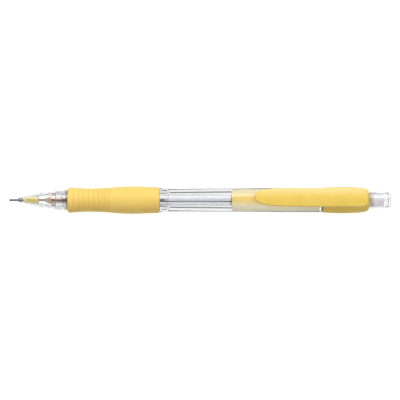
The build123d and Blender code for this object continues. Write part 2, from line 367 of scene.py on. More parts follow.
def translucent_yellow(name):
    m, nt, p = material(name)
    v = tex_coord(nt)
    a, b = srgb(255, 240, 166), srgb(252, 228, 140)
    c = ramp(nt, noise(nt, v, 500.0, 3.0, 0.55), [(0.3, a), (0.7, b)])
    link(nt, c.outputs["Color"], p.inputs["Base Color"])
    r = ramp(nt, noise(nt, v, 1200.0, 2.0, 0.6), [(0.3, grey(0.28)), (0.7, grey(0.40))])
    link(nt, r.outputs["Color"], p.inputs["Roughness"])
    p.inputs["IOR"].default_value = 1.49
    p.inputs["Transmission Weight"].default_value = 0.35
    p.inputs["Subsurface Weight"].default_value = 0.4
    p.inputs["Subsurface Radius"].default_value = (1.0, 0.8, 0.4)
    p.inputs["Subsurface Scale"].default_value = 0.0005
    bump(nt, noise(nt, v, 3000.0, 2.0, 0.5), 0.10, 0.00001, p.inputs["Normal"])
    return m


def yellow_rubber(name, dim=1.0):
    """Soft rubber. dim below 1 makes a darker copy of the same rubber, painted shade for the bottoms of the fine rings.
    """
    m, nt, p = material(name)
    v = tex_coord(nt)
    a = darker(srgb(236, 202, 106), dim)
    b = darker(srgb(231, 195, 97), dim)
    c = ramp(nt, noise(nt, v, 140.0, 4.0, 0.6), [(0.3, a), (0.7, b)])
    # painted light: the side towards +Y is painted paler, as if lit from that side
    painted_side_light = ramp(nt, along(nt, "Y", 3.0, 5.1), [(0.0, grey(0.0)), (1.0, grey(0.8))])
    link(nt, blend_colour(nt, painted_side_light.outputs["Color"], c.outputs["Color"], darker(srgb(238, 212, 142), dim)),
         p.inputs["Base Color"])
    r = ramp(nt, noise(nt, v, 700.0, 3.0, 0.6), [(0.3, grey(0.50)), (0.7, grey(0.64))])
    link(nt, r.outputs["Color"], p.inputs["Roughness"])
    p.inputs["IOR"].default_value = 1.45
    p.inputs["Subsurface Weight"].default_value = 0.2
    p.inputs["Subsurface Radius"].default_value = (1.0, 0.7, 0.3)
    p.inputs["Subsurface Scale"].default_value = 0.0006
    p.inputs["Sheen Weight"].default_value = 0.35
    p.inputs["Sheen Roughness"].default_value = 0.35
    fine = bump(nt, noise(nt, v, 5200.0, 2.0, 0.5), 0.22, 0.00002, None)
    bump(nt, noise(nt, v, 900.0, 2.0, 0.5), 0.06, 0.00004, p.inputs["Normal"], fine)
    return m


def metal(name, col, rough, line_scale=(400, 9000, 9000), strength=0.15, spread=0.14):
    m, nt, p = material(name)
    v = tex_coord(nt, line_scale)
    p.inputs["Metallic"].default_value = 1.0
    c = ramp(nt, noise(nt, v, 1.0, 3.0, 0.6), [(0.3, col), (0.7, darker(col, 0.86))])
    link(nt, c.outputs["Color"], p.inputs["Base Color"])
    r = ramp(nt, noise(nt, v, 0.6, 3.0, 0.6), [(0.3, grey(rough)), (0.7, grey(rough + spread))])
    link(nt, r.outputs["Color"], p.inputs["Roughness"])
    bump(nt, noise(nt, v, 1.0, 2.0, 0.5), strength, 0.00001, p.inputs["Normal"])
    return m


def frosted(name, base=(0.97, 0.975, 0.985, 1), rough=0.07, clear=0.97):
    m, nt, p = material(name)
    v = tex_coord(nt)
    p.inputs["Transmission Weight"].default_value = clear
    p.inputs["IOR"].default_value = 1.50
    c = ramp(nt, noise(nt, v, 120.0, 3.0, 0.5), [(0.3, base), (0.7, darker(base, 0.98))])
    link(nt, c.outputs["Color"], p.inputs["Base Color"])
    r = ramp(nt, noise(nt, v, 500.0, 3.0, 0.5), [(0.3, grey(rough)), (0.7, grey(rough + 0.1))])
    link(nt, r.outputs["Color"], p.inputs["Roughness"])
    bump(nt, noise(nt, v, 900.0, 2.0, 0.5), 0.1, 0.00002, p.inputs["Normal"])
    return m


def matte(name, a, b, rough=0.6, scale=300.0, bump_scale=2500.0, strength=0.2):
    m, nt, p = material(name)
    v = tex_coord(nt)
    c = ramp(nt, noise(nt, v, scale, 3.0, 0.6), [(0.3, a), (0.7, b)])
    link(nt, c.outputs["Color"], p.inputs["Base Color"])
    r = ramp(nt, noise(nt, v, scale * 2, 3.0, 0.6), [(0.3, grey(rough - 0.06)), (0.7, grey(rough + 0.08))])
    link(nt, r.outputs["Color"], p.inputs["Roughness"])
    bump(nt, noise(nt, v, bump_scale, 3.0, 0.5), strength, 0.00002, p.inputs["Normal"])
    return m


CLEAR = clear_plastic("clear_plastic")
YELLOW = yellow_plastic("yellow_plastic")
CORE = yellow_core("yellow_core")
PALE_YELLOW = translucent_yellow("translucent_yellow")
RUBBER = yellow_rubber("yellow_rubber")
# darker copy of the rubber: painted shade for the bottoms of the grip's fine rings
RUBBER_GROOVE_SHADE = yellow_rubber("yellow_rubber_groove_shade", 0.86)
STEEL = metal("steel", (0.40, 0.41, 0.43, 1), 0.26)
PIPE_STEEL = metal("pipe_steel", (0.25, 0.26, 0.275, 1), 0.24)
BRASS = metal("brass", (0.94, 0.67, 0.51, 1), 0.34)
FROST = frosted("frosted_plastic")
# lead tube's mouth inside the sleeve: rougher and less clear, with a warm beige of painted shade and painted reflection
# of the yellow sleeve
FROST_MOUTH_SHADE_TINT = frosted("frosted_mouth_shade_tint", srgb(244, 230, 204), 0.30, 0.45)
GRAPHITE = matte("graphite", (0.14, 0.155, 0.145, 1), (0.19, 0.20, 0.195, 1), 0.36)
# the spare lead: a lighter grey copy of the graphite, its highlight painted into the colour
SPARE_GRAPHITE_HIGHLIGHT = matte("spare_graphite_highlight", (0.30, 0.31, 0.32, 1), (0.37, 0.38, 0.39, 1), 0.36)
for g in (GRAPHITE, SPARE_GRAPHITE_HIGHLIGHT):
    g.node_tree.nodes["Principled BSDF"].inputs["Metallic"].default_value = 0.5
ERASER = matte("eraser_white", srgb(228, 228, 232), srgb(220, 220, 225), 0.62, 200.0, 2200.0, 0.25)
ERASER.node_tree.nodes["Principled BSDF"].inputs["Subsurface Weight"].default_value = 0.35
ERASER.node_tree.nodes["Principled BSDF"].inputs["Subsurface Scale"].default_value = 0.0008
DARK = matte("dark_rubber", (0.03, 0.03, 0.03, 1), (0.05, 0.05, 0.05, 1), 0.7)


def dress(ob, mat):
    ob.data.materials.clear()
    ob.data.materials.append(mat)


def place(ob, body, nodes, mat):
    dress(ob, mat)
    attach(ob, body)
    for n in nodes:
        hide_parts(n)
    return ob


def ridges(x0, count, pitch, low, high, width, steps=6):
    pts = []
    for i in range(count):
        for k in range(steps + 1):
            t = k / steps
            pts.append((x0 + i * pitch + t * width, low + (high - low) * 0.5 * (1 - math.cos(TAU * t))))
    return pts


# ------------------------------------------------------------------ clear front cone
cone_outer = spline([(-67.55, 0.80), (-67.38, 0.92), (-66.9, 1.11), (-65.8, 1.42), (-64.3, 1.77),
                     (-62.4, 2.10), (-60.4, 2.37), (-57.4, 2.78), (-54.5, 3.13)], 5)
cone_prof = (cone_outer
             + [(-54.1, 3.18), (-53.95, 3.19), (-53.85, 3.17), (-53.77, 3.10), (-53.75, 3.02), (-53.75, 2.50)]
             + ridges(-53.0, 7, 0.75, 2.50, 2.58, 0.62)
             + [(-47.2, 2.50), (-47.05, 2.44), (-47.0, 2.36), (-47.0, 2.20)]
             + [(-56.20, 2.20), (-56.25, 2.15), (-56.25, 1.92), (-57.6, 1.86), (-58.9, 1.47), (-63.45, 1.47),
                (-63.75, 1.34), (-65.72, 0.80), (-65.95, 0.66), (-67.47, 0.66), (-67.53, 0.69), (-67.55, 0.74)])
place(lathe("nose_cone_clear", fit(cone_prof, "nose_cone"), 144), "cone", ["nose_cone"], CLEAR)

# ------------------------------------------------------------------ slider, pipe, lead
slider_prof = [(-65.60, 0.60), (-65.60, 0.68), (-65.58, 0.72), (-65.50, 0.765), (-63.78, 1.24), (-63.55, 1.29),
               (-63.42, 1.25), (-63.36, 1.12), (-63.10, 1.10), (-63.02, 1.20), (-63.0, 1.34), (-62.93, 1.39),
               (-62.85, 1.40), (-60.10, 1.40), (-59.92, 1.37), (-59.85, 1.30), (-59.85, 1.20), (-60.65, 1.18),
               (-60.65, 0.95), (-62.30, 0.95), (-62.40, 0.85), (-62.40, 0.60)]
place(lathe("tip_slider_body", fit(slider_prof, "tip_slider"), 96), "tip", ["tip_slider"], PALE_YELLOW)
pipe_prof = [(-70.90, 0.34), (-70.89, 0.375), (-70.86, 0.405), (-70.81, 0.428), (-70.74, 0.44), (-67.45, 0.44),
             (-67.40, 0.48), (-67.35, 0.58), (-67.30, 0.60), (-62.40, 0.60), (-62.40, 0.30), (-70.85, 0.30),
             (-70.89, 0.31)]
place(lathe("lead_pipe_steel", fit(pipe_prof, "lead_pipe"), 64), "tip", ["lead_pipe"], PIPE_STEEL)
retainer_prof = [(-62.30, 0.31), (-62.30, 0.93), (-62.28, 0.95), (-60.78, 0.95), (-60.75, 0.92), (-60.75, 0.60),
                 (-60.80, 0.54), (-61.05, 0.30), (-61.10, 0.29), (-62.10, 0.29)]
place(lathe("lead_retainer_ring", fit(retainer_prof, "lead_retainer"), 64), "tip", ["lead_retainer"], DARK)
lead_prof = [(-71.0, 0.0), (-71.0, 0.17), (-70.97, 0.22), (-70.88, 0.265), (-70.8, 0.28), (-13.03, 0.28),
             (-13.0, 0.25), (-13.0, 0.0)]
place(lathe("writing_lead_stick", fit(lead_prof, "writing_lead"), 48, closed=False), "lead_in_use", ["writing_lead"],
      GRAPHITE)

# ------------------------------------------------------------------ brass chuck
JAW_PROF = [(-57.50, 0.30), (-57.50, 0.58), (-57.48, 0.63), (-57.40, 0.72), (-55.32, 1.42), (-55.24, 1.47),
            (-55.15, 1.50), (-54.92, 1.50), (-54.85, 1.47), (-53.70, 0.99), (-53.60, 0.95), (-50.0, 0.95),
            (-50.0, 0.45), (-54.6, 0.45), (-54.9, 0.29)]
SLIT = 0.12
for jaw, deg in (("a", 90), ("b", 210), ("c", 330)):
    node = "chuck_jaw_" + jaw
    K = 24
    mid = math.radians(deg)
    verts, rings = [], []
    for x, r in fit(JAW_PROF, node):
        half = math.pi / 3 - math.asin(min(0.95, SLIT / r))
        ring = []
        for k in range(K + 1):
            a = mid - half + 2 * half * k / K
            ring.append(len(verts))
            verts.append((x, r * math.cos(a), AXIS_Z + r * math.sin(a)))
        rings.append(ring)
    faces = []
    n = len(rings)
    for i in range(n):
        p, q = rings[i], rings[(i + 1) % n]
        for k in range(K):
            faces.append((p[k], p[k + 1], q[k + 1], q[k]))
    faces.append([rg[0] for rg in rings])
    faces.append([rg[-1] for rg in reversed(rings)])
    place(new_object(node + "_brass", verts, faces, sharp_deg=30), "jaw_" + jaw, [node], BRASS)

chuck_prof = [(-50.0, 0.45), (-50.0, 0.95), (-43.6, 0.95), (-43.56, 1.10), (-43.5, 1.20), (-42.9, 1.20), (-42.84, 1.10),
              (-42.8, 0.95), (-40.84, 0.95), (-40.8, 0.91), (-40.8, 0.55), (-41.6, 0.34), (-48.6, 0.34), (-49.2, 0.45)]
place(lathe("chuck_shank", fit(chuck_prof, "chuck"), 96), "push_unit", ["chuck"], BRASS)
ring_prof = [(-55.00, 1.60), (-55.00, 1.98), (-54.98, 2.05), (-54.92, 2.10), (-53.50, 2.10), (-53.44, 2.08),
             (-53.42, 2.02), (-53.42, 1.05), (-53.70, 1.05), (-54.97, 1.54)]
place(lathe("clutch_ring_brass", fit(ring_prof, "clutch_ring"), 96), "clutch", ["clutch_ring"], BRASS)

# ------------------------------------------------------------------ return spring
slo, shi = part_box("return_spring")
SX0, SX1 = slo[0] / MM, shi[0] / MM
COIL_R, WIRE_R, TURNS = 1.36, 0.16, 7.5
verts, faces = [], []
STEPS, SIDES = 540, 14
sx_a, sx_b = SX0 + WIRE_R, SX1 - WIRE_R
pitch_slope = (sx_b - sx_a) / (TAU * TURNS * COIL_R)
for i in range(STEPS + 1):
    t = i / STEPS
    a = TAU * TURNS * t
    cx = sx_a + (sx_b - sx_a) * t
    rad = Vector((0.0, math.sin(a), -math.cos(a)))
    tan = Vector((pitch_slope, math.cos(a), math.sin(a))).normalized()
    side = tan.cross(rad).normalized()
    c = Vector((cx, 0.0, AXIS_Z)) + rad * COIL_R
    for k in range(SIDES):
        b = TAU * k / SIDES
        q = c + rad * (WIRE_R * math.cos(b)) + side * (WIRE_R * math.sin(b))
        verts.append((q.x, q.y, q.z))
for i in range(STEPS):
    for k in range(SIDES):
        m2 = (k + 1) % SIDES
        faces.append((i * SIDES + k, i * SIDES + m2, (i + 1) * SIDES + m2, (i + 1) * SIDES + k))
faces.append(list(range(SIDES)))
faces.append([STEPS * SIDES + k for k in reversed(range(SIDES))])
spring = place(new_object("return_spring_wire", verts, faces, sharp_deg=50), "barrel", ["return_spring"], STEEL)
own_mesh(spring)

joint_prof = [(-43.60, 1.22), (-43.60, 1.62), (-43.52, 1.70), (-36.0, 1.70), (-36.0, 1.60), (-32.03, 1.60), (-32.0, 1.57),
              (-32.0, 1.50), (-37.0, 0.95), (-40.2, 0.40), (-40.78, 0.36), (-40.78, 0.95),
              (-42.78, 0.95), (-42.88, 1.20), (-43.48, 1.20)]
place(lathe("chuck_joint_funnel", fit(joint_prof, "chuck_joint"), 96), "push_unit", ["chuck_joint"], FROST)

# ------------------------------------------------------------------ front barrel
female = []
for i in range(8):
    x = -46.95 - i * 0.75
    for k in range(7):
        t = k / 6
        female.append((x - t * 0.62, 2.74 + 0.06 * 0.5 * (1 - math.cos(TAU * t))))
fb_prof = ([(-53.65, 2.95), (-53.65, 3.42), (-53.62, 3.49), (-53.52, 3.55), (-50.9, 3.57), (-50.4, 3.60),
            (-50.0, 3.65), (-49.7, 3.72), (-49.5, 3.79), (-49.35, 3.83), (-49.22, 3.84), (-49.15, 3.80),
            (-49.15, 3.60), (-14.9, 3.60), (-14.9, 3.42), (-12.28, 3.42), (-12.2, 3.34), (-12.2, 2.36),
            (-15.4, 2.15), (-46.5, 2.15), (-46.75, 2.74)] + female + [(-53.45, 2.74)])
place(lathe("front_barrel_clear", fit(fb_prof, "front_barrel"), 160), "barrel", ["front_barrel"], CLEAR)

# ------------------------------------------------------------------ clutch bush
bush_prof = [(-53.40, 1.06), (-53.40, 1.98), (-53.28, 2.10), (-46.35, 2.10), (-46.35, 2.15), (-37.4, 2.15),
             (-37.4, 1.80), (-51.4, 1.80), (-51.4, 1.06)]
place(lathe("clutch_bush_clear", fit(bush_prof, "clutch_bush"), 96), "barrel", ["clutch_bush"], CLEAR)

# ------------------------------------------------------------------ rubber grip
grip_line = spline([(-48.97, 4.44), (-48.84, 4.60), (-48.5, 4.71), (-48.0, 4.74), (-46.8, 4.66), (-45.4, 4.57),
                    (-43.3, 4.44), (-41.3, 4.38), (-38.8, 4.43), (-36.4, 4.53), (-32.7, 4.78), (-28.3, 5.08),
                    (-23.8, 5.15), (-19.4, 4.97), (-16.8, 4.90), (-15.9, 4.86), (-15.5, 4.80), (-15.2, 4.68),
                    (-15.02, 4.48)], 24)
GROOVES = [(-46.85, 0.12), (-44.90, 0.16), (-43.10, 0.16), (-41.25, 0.16), (-39.40, 0.16), (-37.65, 0.16),
           (-36.30, 0.15), (-35.30, 0.14), (-34.40, 0.13), (-33.40, 0.12)]


def line_radius(line, px):
    for (xa, ra), (xb, rb) in zip(line, line[1:]):
        if xa <= px <= xb:
            return ra + (rb - ra) * (px - xa) / max(xb - xa, 1e-9)
    return line[-1][1]


fine = []
x = -48.0
while x <= -32.5:
    cut = sum(d * math.exp(-((x - g) / 0.15) ** 2) for g, d in GROOVES)
    fine.append((x, line_radius(grip_line, x) - cut))
    x += 0.05
grip_prof = ([(-49.10, 3.60), (-49.10, 4.15), (-49.07, 4.30)] + [p for p in grip_line if p[0] < -48.0] + fine
             + [p for p in grip_line if p[0] > -32.5] + [(-14.95, 4.35), (-14.95, 3.60)])
grip = place(lathe("grip_rubber", fit(grip_prof, "grip"), 144, sharp_deg=60), "barrel", ["grip"], RUBBER)
# painted shade: faces at the bottoms of the fine rings take the darker rubber copy
grip.data.materials.append(RUBBER_GROOVE_SHADE)
for f in grip.data.polygons:
    c = f.center
    if math.hypot(c.y, c.z - AXIS_Z * MM) > 4.0 * MM and any(abs(c.x / MM - g) < 0.11 for g, d in GROOVES):
        f.material_index = 1

# ------------------------------------------------------------------ rear barrel
rb_outer = spline([(-11.5, 4.27), (-8.0, 4.29), (0.0, 4.32), (14.8, 4.41), (22.3, 4.49), (29.7, 4.55), (44.8, 4.56)], 6)
rb_prof = ([(-14.9, 3.50), (-14.9, 4.42), (-14.87, 4.50), (-14.75, 4.57), (-12.35, 4.57), (-12.2, 4.54), (-12.08, 4.46),
            (-11.98, 4.35), (-11.8, 4.28)] + rb_outer
           + [(44.97, 4.55), (45.0, 4.52), (45.0, 2.90), (44.8, 2.80), (11.0, 2.80), (-10.6, 2.585), (-11.4, 2.54), (-12.17, 2.37),
              (-12.17, 3.50)])
place(lathe("rear_barrel_clear", fit(rb_prof, "rear_barrel"), 192), "barrel", ["rear_barrel"], CLEAR)

# ------------------------------------------------------------------ lead tube, spare lead
tube_prof = [(-33.4, 1.60), (-33.58, 1.72), (-33.6, 1.78), (-33.6, 2.02), (-33.57, 2.05), (53.0, 2.05), (53.6, 2.10),
             (55.0, 2.44), (55.5, 2.50), (63.9, 2.50), (64.2, 2.46), (64.35, 2.34), (64.35, 2.22), (64.3, 2.17),
             (57.4, 2.17), (56.9, 1.95), (53.6, 1.60)]
tube = place(lathe("lead_tube_frosted", fit(tube_prof, "lead_tube"), 128), "push_unit", ["lead_tube"], FROST)
# faces past x 54.9 mm take the mouth material with its painted shade and reflected yellow
tube.data.materials.append(FROST_MOUTH_SHADE_TINT)
for f in tube.data.polygons:
    if f.center.x > 54.9 * MM:
        f.material_index = 1
sp_lo, sp_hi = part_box("spare_lead")
spare_prof = [(-31.0, 0.0), (-31.0, 0.25), (-30.95, 0.28), (28.95, 0.28), (29.0, 0.25), (29.0, 0.0)]
place(lathe("spare_lead_stick", fit(spare_prof, "spare_lead"), 32, closed=False, y=(sp_lo[1] + sp_hi[1]) / 2 / MM,
            z=(sp_lo[2] + sp_hi[2]) / 2 / MM - AXIS_Z), "lead_spare", ["spare_lead"], SPARE_GRAPHITE_HIGHLIGHT)

# ------------------------------------------------------------------ eraser and cap
er_prof = [(58.4, 0.0), (58.4, 2.0), (58.43, 2.08), (58.55, 2.15), (67.9, 2.15), (68.1, 2.12), (68.24, 2.02),
           (68.3, 1.85), (68.3, 0.0)]
place(lathe("eraser_plug", fit(er_prof, "eraser"), 96, closed=False), "eraser_body", ["eraser"], ERASER)
cap_outer = spline([(64.5, 3.20), (65.3, 3.07), (66.4, 2.90), (67.4, 2.85), (68.6, 2.87), (69.7, 2.90)], 6)
cap_prof = ([(58.2, 2.53), (58.2, 3.0), (58.25, 3.08), (58.4, 3.15), (60.0, 3.20), (64.0, 3.20)] + cap_outer
            + [(70.10, 2.86), (70.42, 2.74), (70.66, 2.55), (70.83, 2.30), (70.93, 2.02), (70.98, 1.72), (71.0, 1.4),
               (71.0, 0.0), (69.95, 0.0), (69.95, 1.9), (69.88, 2.08), (69.7, 2.22), (69.4, 2.33), (69.0, 2.38),
               (65.9, 2.38), (65.0, 2.53)])
place(lathe("eraser_cap_clear", fit(cap_prof, "eraser_cap"), 144), "cap", ["eraser_cap"], CLEAR)


# ------------------------------------------------------------------ rear sleeve with the clip's root
def table(rows, x):
    """Smooth lookup through (x, value) rows."""
    if x <= rows[0][0]:
        return rows[0][1]
    if x >= rows[-1][0]:
        return rows[-1][1]
    for i in range(len(rows) - 1):
        (xa, va), (xb, vb) = rows[i], rows[i + 1]
        if x <= xb:
            def slope(j):
                if j <= 0 or j >= len(rows) - 1:
                    return None
                (x0, v0), (x1, v1), (x2, v2) = rows[j - 1], rows[j], rows[j + 1]
                d0, d1 = (v1 - v0) / (x1 - x0), (v2 - v1) / (x2 - x1)
                if d0 * d1 <= 0:
                    return 0.0
                w0, w1 = 2 * (x2 - x1) + (x1 - x0), (x2 - x1) + 2 * (x1 - x0)
                return (w0 + w1) / (w0 / d0 + w1 / d1)
            h = xb - xa
            d = (vb - va) / h
            ma, mb = slope(i), slope(i + 1)
            ma = d if ma is None else ma
            mb = d if mb is None else mb
            t = (x - xa) / h
            return ((2 * t ** 3 - 3 * t ** 2 + 1) * va + (t ** 3 - 2 * t ** 2 + t) * h * ma
                    + (-2 * t ** 3 + 3 * t ** 2) * vb + (t ** 3 - t ** 2) * h * mb)


def soft_min(a, b, k):
    h = max(k - abs(a - b), 0.0) / k
    return min(a, b) - h * h * k / 4


def soft_max(a, b, k):
    return -soft_min(-a, -b, k)


CROWN = 0.034
SLEEVE_R = [(45.5, 4.60), (45.58, 4.68), (45.8, 4.72), (47.5, 4.80), (49.6, 4.93), (52.0, 4.98), (54.2, 4.96),
            (56.4, 4.88), (59.4, 4.68), (60.5, 4.54), (61.4, 4.36), (62.0, 4.14), (62.4, 3.88), (62.56, 3.70), (62.6, 3.60)]
RIDGE_W = [(46.0, 3.48), (47.2, 3.56), (52.0, 3.58), (58.0, 3.56), (59.5, 3.47), (60.6, 3.20), (61.4, 2.72), (61.9, 2.15),
           (62.2, 1.50), (62.38, 0.70), (62.42, 0.0)]
RIDGE_TOP = [(46.0, 6.20), (46.8, 6.30), (48.0, 6.34), (52.0, 6.28), (56.0, 6.04), (59.0, 5.64), (60.5, 5.34), (61.5, 5.02),
             (62.1, 4.70), (62.42, 4.30)]


def ridge_radius(a, x):
    """Distance from the axis to the ridge's skin at angle a from straight up."""
    c, s = math.cos(a), abs(math.sin(a))
    if c <= 0.02 or x < 45.99 or x > 62.41:
        return 0.0
    t = table(RIDGE_TOP, x)
    w = table(RIDGE_W, x)
    k = CROWN * s * s
    top = t / c if k < 1e-6 else (-c + math.sqrt(c * c + 4 * k * t)) / (2 * k)
    wall = w / max(s, 1e-4)
    return soft_min(top, min(wall, 40.0), 0.42)


def skin_radius(a, x):
    base = table(SLEEVE_R, x)
    rd = ridge_radius(a, x)
    return base if rd <= 0 else soft_max(base, rd, 0.20)


angles = []
a = 0.0
while a < math.pi - 1e-6:
    angles.append(a)
    deg = math.degrees(a)
    a += math.radians(1.0 if 22 <= deg <= 58 else (2.0 if deg < 22 else 4.0))
angles = angles + [math.pi] + [TAU - q for q in reversed(angles[1:])]
xs = [45.5, 45.53, 45.58, 45.66, 45.8, 45.96, 46.0, 46.05, 46.15, 46.3, 46.5, 46.8, 47.2]
x = 47.6
while x < 59.0:
    xs.append(x)
    x += 0.4
while x < 61.4:
    xs.append(x)
    x += 0.15
while x < 62.42:
    xs.append(x)
    x += 0.04
xs += [62.46, 62.52, 62.57, 62.6]
sx_lo, sx_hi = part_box("rear_sleeve")
sx0, sx1 = sx_lo[0] / MM, sx_hi[0] / MM
kx = (sx1 - sx0) / (62.6 - 11.7)
mapx = lambda v: sx0 + (v - 11.7) * kx
# inner outline; its last points make a ring at x 45.03 to 45.5 mm, r 4.36, filling the gap in front of the sleeve to
# carry the painted gap shadow
inner = [(62.6, 3.50), (62.57, 3.42), (62.50, 3.36), (54.9, 3.36), (54.9, 2.66), (47.5, 2.66), (46.5, 2.15), (11.72, 2.15),
         (11.7, 2.18), (11.7, 2.62), (11.76, 2.74), (11.85, 2.81), (44.3, 2.81), (44.32, 2.795), (45.03, 2.795),
         (45.03, 4.30), (45.06, 4.36), (45.5, 4.36)]
verts, faces, rings = [], [], []
for xx in xs:
    ring = []
    for ang in angles:
        r = skin_radius(ang, xx)
        ring.append(len(verts))
        verts.append((mapx(xx), r * math.sin(ang), AXIS_Z + r * math.cos(ang)))
    rings.append(ring)
for xx, r in inner:
    ring = []
    for ang in angles:
        ring.append(len(verts))
        verts.append((mapx(xx), r * math.sin(ang), AXIS_Z + r * math.cos(ang)))
    rings.append(ring)
for i in range(len(rings)):
    p, q = rings[i], rings[(i + 1) % len(rings)]
    for k in range(len(angles)):
        m2 = (k + 1) % len(angles)
        faces.append((p[k], p[m2], q[m2], q[k]))
sleeve = place(new_object("rear_sleeve_yellow", verts, faces, sharp_deg=48), "barrel", ["rear_sleeve"], YELLOW)
# faces in front of x 45.495 mm inside r 4.5, the spigot and the gap ring, take the core material with its painted light
# and painted gap shadow
sleeve.data.materials.append(CORE)
for f in sleeve.data.polygons:
    c = f.center
    if c.x < mapx(45.495) * MM and math.hypot(c.y, c.z - AXIS_Z * MM) < 4.5 * MM:
        f.material_index = 1

# ------------------------------------------------------------------ pocket clip
c_lo, c_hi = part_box("clip")
CX0, CX1 = c_lo[0] / MM, c_hi[0] / MM           # tip and bend
CLIP_TOP = c_hi[2] / MM - AXIS_Z
CLIP_BOT = CLIP_TOP - 1.15
CLIP_END = CX1 + 1.5                             # swallowed by the ridge
W2 = [(0.0, 0.0), (0.15, 0.5625), (0.60, 1.96), (1.50, 4.20), (2.90, 6.86), (5.10, 9.49), (7.70, 11.22), (11.4, 12.25),
      (17.9, 12.67), (26.4, 12.82), (27.2, 12.6), (27.9, 12.25)]


def half_width(x):
    return math.sqrt(max(0.0, table(W2, x - CX0)))


edge_line = []
for i in range(401):
    t = (i / 400) ** 2.2
    px = CX0 + (CLIP_END - CX0) * t
    edge_line.append((px, half_width(px)))


def edge_distance(x, y):
    """Distance in plan from (x, |y|) to the clip's outline."""
    best = 1e9
    y = abs(y)
    for (xa, ya), (xb, yb) in zip(edge_line, edge_line[1:]):
        if xa > x + best or xb < x - best:
            continue
        dx, dy = xb - xa, yb - ya
        L = dx * dx + dy * dy
        t = 0.0 if L < 1e-12 else max(0.0, min(1.0, ((x - xa) * dx + (y - ya) * dy) / L))
        d = math.hypot(x - xa - t * dx, y - ya - t * dy)
        best = min(best, d)
    return best


def fillet(d, r):
    return 0.0 if d >= r else r - math.sqrt(max(0.0, r * r - (r - d) ** 2))


def smooth01(t):
    t = max(0.0, min(1.0, t))
    return t * t * (3 - 2 * t)


ROWS, COLS = 120, 44
verts, faces = [], []
top_id, bot_id = [], []
for i in range(ROWS + 1):
    px = CX0 + (CLIP_END - CX0) * (i / ROWS) ** 2.3
    w = half_width(px)
    tr, br = [], []
    sink = 0.09 * smooth01((px - CX1) / 1.0)      # dips into the ridge behind the bend
    for j in range(COLS + 1):
        v = math.sin(math.pi / 2 * (2 * j / COLS - 1))
        py = v * w
        d = edge_distance(px, py) if w > 0 else 0.0
        zt = CLIP_TOP - CROWN * py * py - fillet(d, 0.38) - sink
        zb = CLIP_BOT + fillet(d, 0.22)
        pad = smooth01((2.3 - abs(px - (CX0 + 3.1))) / 1.1) * smooth01((1.75 - abs(py)) / 0.6)
        zb -= 0.56 * pad
        tr.append(len(verts))
        verts.append((px, py, AXIS_Z + zt))
        br.append(len(verts))
        verts.append((px, py, AXIS_Z + min(zb, zt - 0.05)))
    top_id.append(tr)
    bot_id.append(br)
for i in range(ROWS):
    for j in range(COLS):
        faces.append((top_id[i][j], top_id[i][j + 1], top_id[i + 1][j + 1], top_id[i + 1][j]))
        faces.append((bot_id[i][j], bot_id[i + 1][j], bot_id[i + 1][j + 1], bot_id[i][j + 1]))
    for j in (0, COLS):
        faces.append((top_id[i][j], top_id[i + 1][j], bot_id[i + 1][j], bot_id[i][j]))
for j in range(COLS):
    faces.append((top_id[ROWS][j], top_id[ROWS][j + 1], bot_id[ROWS][j + 1], bot_id[ROWS][j]))
clip = new_object("clip_yellow", verts, faces, sharp_deg=50)
dress(clip, YELLOW)
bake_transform(clip)
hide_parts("clip")


# ------------------------------------------------------------------ stage and light
def stage_floor():
    """Pale floor under the object. The camera sees it directly; everything else
    sees the soft light that comes from under and around the object."""
    me = bpy.data.meshes.new("floor")
    s = 3.0
    me.from_pydata([(-s, -s, 0), (s, -s, 0), (s, s, 0), (-s, s, 0)], [], [(0, 1, 2, 3)])
    ob = bpy.data.objects.new("floor", me)
    scene.collection.objects.link(ob)
    ob.location.z = -0.00005
    m, nt, p = material("pale_floor")
    out = nt.nodes["Material Output"]
    p.inputs["Base Color"].default_value = (0.86, 0.86, 0.86, 1)
    p.inputs["Roughness"].default_value = 0.9
    p.inputs["Specular IOR Level"].default_value = 0.0
    p.inputs["Emission Color"].default_value = (1, 1, 1, 1)
    p.inputs["Emission Strength"].default_value = FLOOR_GLOW
    tr = nt.nodes.new("ShaderNodeBsdfTransparent")
    lp = nt.nodes.new("ShaderNodeLightPath")
    mx = nt.nodes.new("ShaderNodeMixShader")
    link(nt, lp.outputs["Is Camera Ray"], mx.inputs["Fac"])
    link(nt, tr.outputs["BSDF"], mx.inputs[1])
    link(nt, p.outputs["BSDF"], mx.inputs[2])
    link(nt, mx.outputs["Shader"], out.inputs["Surface"])
    dress(ob, m)
    return ob


def flag(name, low, high, level, stations):
    """Thin studio flag along a clear piece, set a little under it. Its lower and upper edges
    are (y, z) from the axis as parts of the piece's radius, at stations of (x, radius) mm.
    Only light that has passed through the clear plastic meets it, so it draws the edge lines."""
    verts, faces = [], []
    for x, r in stations:
        verts.append((x, low[0] * r, max(0.08, AXIS_Z + low[1] * r)))
        verts.append((x, high[0] * r, max(0.09, AXIS_Z + high[1] * r)))
    for i in range(len(stations) - 1):
        faces.append((2 * i, 2 * i + 2, 2 * i + 3, 2 * i + 1))
    ob = new_object(name, verts, faces, smooth=False)
    m, nt, p = material(name + "_card")
    p.inputs["Base Color"].default_value = (0, 0, 0, 1)
    p.inputs["Roughness"].default_value = 1.0
    p.inputs["Specular IOR Level"].default_value = 0.0
    p.inputs["Emission Color"].default_value = (level * 0.97, level * 0.98, level, 1)
    p.inputs["Emission Strength"].default_value = 1.0
    dress(ob, m)
    ob.visible_camera = False
    ob.visible_diffuse = False
    ob.visible_glossy = False
    ob.visible_shadow = False
    ob.visible_volume_scatter = False
    return ob


